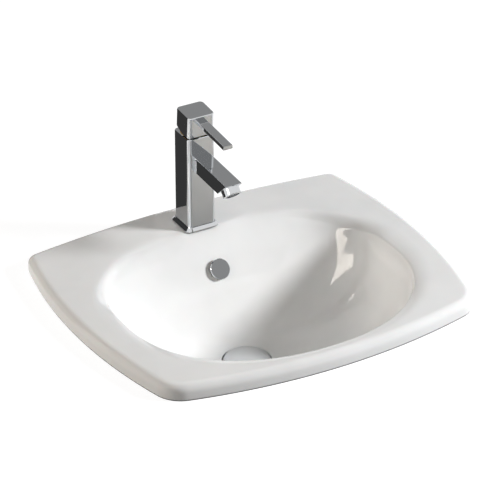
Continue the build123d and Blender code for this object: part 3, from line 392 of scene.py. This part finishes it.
def climb(low, high, share):
    """A ring part of the way up from one to another, on a slope that is level when it arrives."""
    gained = 1 - (1 - share) ** 2
    return [(a[0] + (b[0] - a[0]) * share, a[1] + (b[1] - a[1]) * share, a[2] + (b[2] - a[2]) * gained)
            for a, b in zip(low, high)]


def edge_rings():
    """From the wall over a crisp edge and up the shoulder to the deck."""
    edge, top = wall_ring(0.0), shoulder_ring(1.0, 1.0, DECK_Z)
    rings = [wall_ring(0.072), wall_ring(0.046)]
    rings += round_off(wall_ring(0.02), edge, climb(edge, top, 0.28), [2.4] * COUNT, [2.4] * COUNT, 4)
    rings += [climb(edge, top, share) for share in (0.28, 0.52, 0.76, 1.0)]
    return rings + [between(top, inset_ring(DECK_END, DECK_Z), 0.12)]


def roll_rings():
    """From the wall to the deck in one wide roll."""
    low, corner, deck = wall_ring(0.10), shoulder_ring(1.0, 1.0, DECK_Z), inset_ring(DECK_END, DECK_Z)
    reach = [9.0 + 15.0 * clear for clear in CLEAR_OF_TAP]
    return round_off(low, corner, deck, [24.0] * COUNT, reach, 11)


EDGE_ZONE = [between(a, b, ROLL) for a, b in zip(edge_rings(), roll_rings())]
print("edge zone:", len(EDGE_ZONE), "rings, heights behind",
      [round(min(ring, key=lambda p: abs(p[0]) - p[1])[2], 1) for ring in EDGE_ZONE])

# %% [markdown]
# ## All the rings in order
#
# The list runs from the waste's hole up the bowl and over the rim, then back inwards underneath and down
# the outside to the boss that the waste is clamped to.

# %% The basin's rings

WASTE_HOLE_R, BOSS_R = 23.0, 45.0
LEDGE_Z, BOSS_LOW = -126.0, -144.0       # the waste's flange lies on the ledge
EASE = 0.6                               # how far the small edges are eased
RIM_ROUND = 11.0
CUT_INSET, CUT_TOP = 14.0, 10.0          # the hollow under the rim


def basin_rings():
    rings = [circle_ring(WASTE_HOLE_R, BOSS_LOW + EASE), circle_ring(WASTE_HOLE_R, LEDGE_Z - EASE),
             circle_ring(WASTE_HOLE_R + EASE, LEDGE_Z), circle_ring(FLOOR_R - EASE, LEDGE_Z),
             circle_ring(FLOOR_R, LEDGE_Z + EASE), circle_ring(FLOOR_R, FLOOR_Z - EASE),
             circle_ring(FLOOR_R + EASE, FLOOR_Z)]
    rings += [wall_ring(s) for s in [0.9992] + [sin(pi / 2 * k / 16) for k in range(15, 0, -1)]]
    rings += EDGE_ZONE
    deck_end = inset_ring(DECK_END, DECK_Z)
    rings += [between(EDGE_ZONE[-1], deck_end, share) for share in (0.3, 0.65)] + [deck_end]
    for k in range(7):
        turn = pi / 2 * k / 6
        rings.append(inset_ring(RIM_ROUND * (1 - sin(turn)), DECK_Z - RIM_ROUND * (1 - cos(turn))))
    foot = [(0, 5), (0, 1.4), (0.2, 1.0), (1.0, 0.2), (1.4, 0), (CUT_INSET - 0.4, 0), (CUT_INSET, 0.4)]
    rings += [inset_ring(inset, z) for inset, z in foot + [(CUT_INSET, CUT_TOP - 0.4)]]
    wall = inset_ring(CUT_INSET, CUT_TOP)
    rings += [between(wall, bowl_ring(0.02, OUTSIDE), share) for share in (0.01, 0.5, 0.97)]
    rings += [bowl_ring(s, OUTSIDE) for s in [0.05] + [sin(pi / 2 * k / 12) for k in range(1, 12)]]
    rings += [circle_ring(BOSS_R + 1.5, -130.4), circle_ring(BOSS_R, -131.5),
              circle_ring(BOSS_R, BOSS_LOW + EASE), circle_ring(BOSS_R - EASE, BOSS_LOW),
              circle_ring(WASTE_HOLE_R + EASE, BOSS_LOW)]
    return rings


RINGS = basin_rings()
print("basin:", len(RINGS), "rings of", len(RIM), "points")

# %% [markdown]
# ## Extruding the rings
#
# A circle is added for the first ring. In edit mode it is extruded, and the new points are set on the
# next ring, over and over, as one would pull a loop of edges outwards by hand. The last ring is bridged
# to the first, which closes the skin, and one level of subdivision smooths it.

# %% Extrude the basin's skin

def skin(name, rings):
    """A closed skin through rings of points, in millimetres. The last ring is bridged to the first."""
    nothing_selected()
    count = len(rings[0])
    bpy.ops.mesh.primitive_circle_add(vertices=count, radius=1.0)
    made = bpy.context.object
    made.name = made.data.name = name
    for vertex, place in zip(made.data.vertices, rings[0]):
        vertex.co = Vector(place) * MM
    bpy.ops.object.mode_set(mode="EDIT")
    bpy.ops.mesh.select_all(action="SELECT")
    now = [v.co.copy() for v in made.data.vertices]
    for ring in rings[1:]:
        bpy.ops.mesh.extrude_region_move()
        mesh = bmesh.from_edit_mesh(made.data)
        order = {tuple(round(c, 6) for c in place): i for i, place in enumerate(now)}
        for v in mesh.verts:
            if v.select:
                v.co = Vector(ring[order[tuple(round(c, 6) for c in v.co)]]) * MM
        now = [Vector(place) * MM for place in ring]
        bmesh.update_edit_mesh(made.data)
    bpy.ops.mesh.select_non_manifold(extend=False)
    bpy.ops.mesh.bridge_edge_loops()
    bpy.ops.mesh.select_all(action="SELECT")
    bpy.ops.mesh.normals_make_consistent(inside=False)
    bpy.ops.object.mode_set(mode="OBJECT")
    return made


basin = skin("china_basin", RINGS)
smooth = basin.modifiers.new("smooth", "SUBSURF")
smooth.levels = smooth.render_levels = 1
bpy.ops.object.modifier_apply(modifier=smooth.name)
print("basin skin:", len(basin.data.polygons), "faces")

# %% [markdown]
# ## The overflow's duct
#
# Behind the back wall a closed channel takes the overflow's water down to the waste. In the mould it is
# part of the same casting, so its shell is a separate block here only until it is merged with the basin.
# The block is a face drawn from the side, extruded across and bevelled.

# %% The duct's shell, merged with the basin

def merge(piece, tool, operation):
    """Joins a tool to the piece, or cuts it away, and removes the tool."""
    nothing_selected()
    bpy.context.view_layer.objects.active = piece
    step = piece.modifiers.new("step", "BOOLEAN")
    step.object, step.operation, step.solver = tool, operation, "EXACT"
    bpy.ops.object.modifier_apply(modifier=step.name)
    bpy.data.objects.remove(tool)


def duct_shell():
    side = [(95, -8), (117, -20), (110, -34), (96, -64), (82, -104), (65, -143.6), (38, -143.6), (38, -124)]
    side += [(52, -104), (62, -64)]
    half = 29.0
    nothing_selected()
    bpy.ops.mesh.primitive_circle_add(vertices=len(side), radius=1.0, fill_type="NGON")
    shell = bpy.context.object
    for vertex, (y, z) in zip(shell.data.vertices, side):
        vertex.co = Vector((-half, y, z)) * MM
    bpy.ops.object.mode_set(mode="EDIT")
    bpy.ops.mesh.select_all(action="SELECT")
    bpy.ops.mesh.extrude_region_move(TRANSFORM_OT_translate={"value": (2 * half * MM, 0, 0)})
    bpy.ops.mesh.select_all(action="SELECT")
    bpy.ops.mesh.normals_make_consistent(inside=False)
    bpy.ops.mesh.bevel(offset=4 * MM, segments=3, affect="EDGES")
    bpy.ops.object.mode_set(mode="OBJECT")
    return shell


merge(basin, duct_shell(), "UNION")
print("basin with its duct:", len(basin.data.polygons), "faces")

# %% [markdown]
# ## The tap's hole and the overflow's hole
#
# The holes are cut with cylinders, as a drill cuts them in the clay before firing. The overflow's hole is
# square to the sloping wall, with a shallow flat round it for the sleeve's lip.

# %% Cut the holes

def drill(piece, radius, depth, place, turn=(0.0, 0.0, 0.0)):
    nothing_selected()
    bpy.ops.mesh.primitive_cylinder_add(vertices=64, radius=radius, depth=depth,
                                        location=place, rotation=turn)
    merge(piece, bpy.context.object, "DIFFERENCE")


WALL_PLACE = Vector((0, 0.07819, -0.0196))
WALL_TURN = radians(55.4)
OUT_OF_WALL = Vector((0, -sin(WALL_TURN), cos(WALL_TURN)))
TAP_HOLE_R, SLEEVE_HOLE_R, SLEEVE_LIP_R = 0.0175, 0.0125, 0.0140
TAP_PLACE = (0, 0.144, 0.016)
drill(basin, TAP_HOLE_R, 0.060, TAP_PLACE)
drill(basin, SLEEVE_HOLE_R, 0.026, WALL_PLACE - OUT_OF_WALL * 0.0030, (WALL_TURN, 0, 0))
drill(basin, SLEEVE_LIP_R, 0.010, WALL_PLACE + OUT_OF_WALL * 0.0043, (WALL_TURN, 0, 0))

basin.select_set(True)
bpy.ops.object.shade_smooth_by_angle(angle=radians(35))
basin.data.materials.clear()
basin.data.materials.append(CHINA)
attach(basin, "fixed")
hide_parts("basin")
print("basin with its holes:", len(basin.data.polygons), "faces")

# %% [markdown]
# ## The camera
#
# The camera stands where the photograph was taken from: 30 degrees up, 29.5 degrees round to the user's
# left, and 4.2 m from its aim, with a long lens that keeps upright lines nearly parallel.

# %% Set the camera

CAMERA_PLACE = Vector((-1.72805, -3.05737, 2.09429))
CAMERA_AIM = Vector((0.04643, 0.07367, 0.0))
SENSOR_MM, LENS_MM = 36.0, 220.36

bpy.ops.object.camera_add(location=CAMERA_PLACE)
camera = bpy.context.object
camera.data.sensor_width = SENSOR_MM
camera.data.lens = LENS_MM
aim = CAMERA_AIM - camera.location
camera.rotation_euler = aim.to_track_quat("-Z", "Y").to_euler()
camera.data.clip_end = 50.0
bpy.context.scene.camera = camera
print("camera", round(camera.location.length, 3), "m from the waste")

# %% [markdown]
# ## The worktop
#
# The basin's rim rests on a white worktop, which also hides what hangs below. It is cut out along the
# rim, so the bowl drops through it as in a kitchen fitter's cut. It runs on far past the picture, so no
# edge shows. To the camera and in reflections it gives off most of its white by itself, and the rest is
# light that falls on it, so the basin's shadow still shows as a faint grey. The rim lies on a thin strip
# of dark rubber, as fitters lay a seal, and that strip is painted shade: it draws the fine dark line of
# shade along the rim's foot.

# %% A white worktop with its cut-out

OWN_WHITE = 0.86         # the rest of the white is light that falls on the worktop
# thickness of the dark strip under the rim, which paints the shade along the rim's foot
SHADE_STRIP_MM = 0.6               # the foam strip's thickness in millimetres


def white_ground():
    ground = start_material("laminate, matt white")
    paths = add_node(ground, "LightPath")
    seen = add_node(ground, "Math", operation="MAXIMUM",
                    links={0: paths.outputs["Is Camera Ray"], 1: paths.outputs["Is Glossy Ray"]})
    through = add_node(ground, "Math", operation="MAXIMUM",
                       links={0: seen.outputs["Value"], 1: paths.outputs["Is Transmission Ray"]})
    strength = add_node(ground, "Math", {1: OWN_WHITE}, {0: through.outputs["Value"]}, operation="MULTIPLY")
    lit = add_node(ground, "BsdfDiffuse", {"Color": linear("#8e8e8e")})
    white = add_node(ground, "Emission", {"Color": (1, 1, 1, 1)}, {"Strength": strength.outputs["Value"]})
    both = add_node(ground, "AddShader")
    ground.node_tree.links.new(lit.outputs["BSDF"], both.inputs[0])
    ground.node_tree.links.new(white.outputs["Emission"], both.inputs[1])
    return end_material(ground, both.outputs["Shader"])


def flat_ring(name, inner, outer, top, low, finish):
    """A flat ring between two outlines, with its top and underside at two heights."""
    outlines = [(inner, top), (outer, top), (outer, low), (inner, low)]
    made = skin(name, [[(x, y, height) for x, y, z in ring] for ring, height in outlines])
    made.data.materials.append(finish)
    return made


far_out = [(x * 26, y * 26, 0.0) for x, y, nx, ny in RIM]
worktop = flat_ring("worktop", inset_ring(12.0, 0.0), far_out, -SHADE_STRIP_MM, -30.0, white_ground())
# A dark rubber strip under the rim, laid like a fitter's seal, is painted shade: the fine dark line along
# the rim's foot.
flat_ring("painted foot shade strip", inset_ring(10.0, 0.0), inset_ring(0.9, 0.0), 0.0, -SHADE_STRIP_MM, FINISHES["rubber"])
print("worktop", [round(d, 2) for d in worktop.dimensions])

# %% [markdown]
# ## Light
#
# The key lamp is a round softbox to the right and in front, 27 degrees up. It throws the tap's shadow to
# the left over the deck, and the right-hand edge of the bowl throws its own shadow down the wall and
# across the floor, which is what shows how deep the bowl is. A narrow warm softbox on the left stands for
# a window. It barely lights anything, but the curved wall on the right draws its image out to a streak.
# A low fill behind on the left opens the shadow in the bowl, and a wide lamp behind lifts the deck. Only
# the window is seen in reflections, so the glaze shows its one streak and no round glare of the key.

# %% Lamps

def soft_lamp(name, place, aim_at, width, height, power, colour="#ffffff", shape="RECTANGLE", roll=0.0):
    data = bpy.data.lights.new(name, "AREA")
    data.shape, data.size, data.size_y, data.energy = shape, width, height, power
    data.color = linear(colour)[:3]
    lamp = bpy.data.objects.new(name, data)
    bpy.context.collection.objects.link(lamp)
    lamp.location = place
    facing = (Vector(aim_at) - Vector(place)).to_track_quat("-Z", "Y")
    lamp.rotation_euler = (facing @ Quaternion((0, 0, 1), radians(roll))).to_euler()
    return lamp


key = soft_lamp("key", (2.36, -1.59, 1.43), (0, 0, 0), 0.75, 0.75, 117, "#fcfdff", shape="DISK")
window = soft_lamp("window", (-1.40, -0.45, 0.92), (0.17, 0.04, -0.03), 1.05, 0.17, 4.8, "#fff7ec", roll=20)
fill = soft_lamp("fill", (-2.00, 1.05, 0.58), (0.15, 0, 0), 0.9, 0.5, 20.0, "#fff6ec")
back = soft_lamp("back", (0.25, 1.60, 1.60), (0, 0, 0), 1.6, 1.2, 9)
key.visible_glossy = fill.visible_glossy = back.visible_glossy = False

# %% [markdown]
# ## What the chrome sees
#
# Chrome has no colour of its own, so a studio sets dark and grey cards round it, out of the shot. A black
# flag behind and to the left makes the tap's left faces nearly black against their bright corners. Grey
# cards behind on the right and in front on the right give the tops and the overflow's cap their mid grey.
# The cards are seen by mirrors alone and throw no shadow.

# %% Cards for the reflections, and the surround

def card(name, centre, towards, width, height, grey):
    """A card that only reflections see. Its grey is a strength, where 1 is the white of the surround."""
    nothing_selected()
    bpy.ops.mesh.primitive_plane_add(size=1.0, location=(0, 0, 0))
    made = bpy.context.object
    made.name = name
    made.scale = (width, height, 1)
    made.location = centre
    made.rotation_euler = (Vector(towards) - Vector(centre)).to_track_quat("Z", "Y").to_euler()
    paper = start_material(name)
    glow = add_node(paper, "Emission", {"Color": (1, 1, 1, 1), "Strength": grey})
    made.data.materials.append(end_material(paper, glow.outputs["Emission"]))
    made.visible_camera = made.visible_diffuse = made.visible_shadow = False
    return made


card("black flag, behind left", (-0.235, 0.206, 0.226), (-0.235, 0, 0.226), 0.41, 0.45, 0.05)
card("grey card, behind right", (0.62, 1.15, 0.88), (0, 0.14, 0.15), 1.3, 0.9, 0.34)
card("grey card, front right", (0.62, -1.05, 0.80), (0, 0.1, 0.0), 0.7, 0.7, 0.36)

world = bpy.data.worlds.new("surround")
bpy.context.scene.world = world
world.use_nodes = True
world.node_tree.nodes.clear()
paths = add_node(world, "LightPath")
seen = add_node(world, "Math", operation="MAXIMUM",
                links={0: paths.outputs["Is Camera Ray"], 1: paths.outputs["Is Glossy Ray"]})
through = add_node(world, "Math", operation="MAXIMUM",
                   links={0: seen.outputs["Value"], 1: paths.outputs["Is Transmission Ray"]})
level = add_node(world, "MapRange", {"To Min": 0.09, "To Max": 1.0}, {"Value": through.outputs["Value"]})
surround = add_node(world, "Background", {"Color": (1, 1, 1, 1)}, {"Strength": level.outputs["Result"]})
add_node(world, "OutputWorld", links={"Surface": surround.outputs["Background"]})

bpy.context.scene.view_settings.view_transform = "Standard"
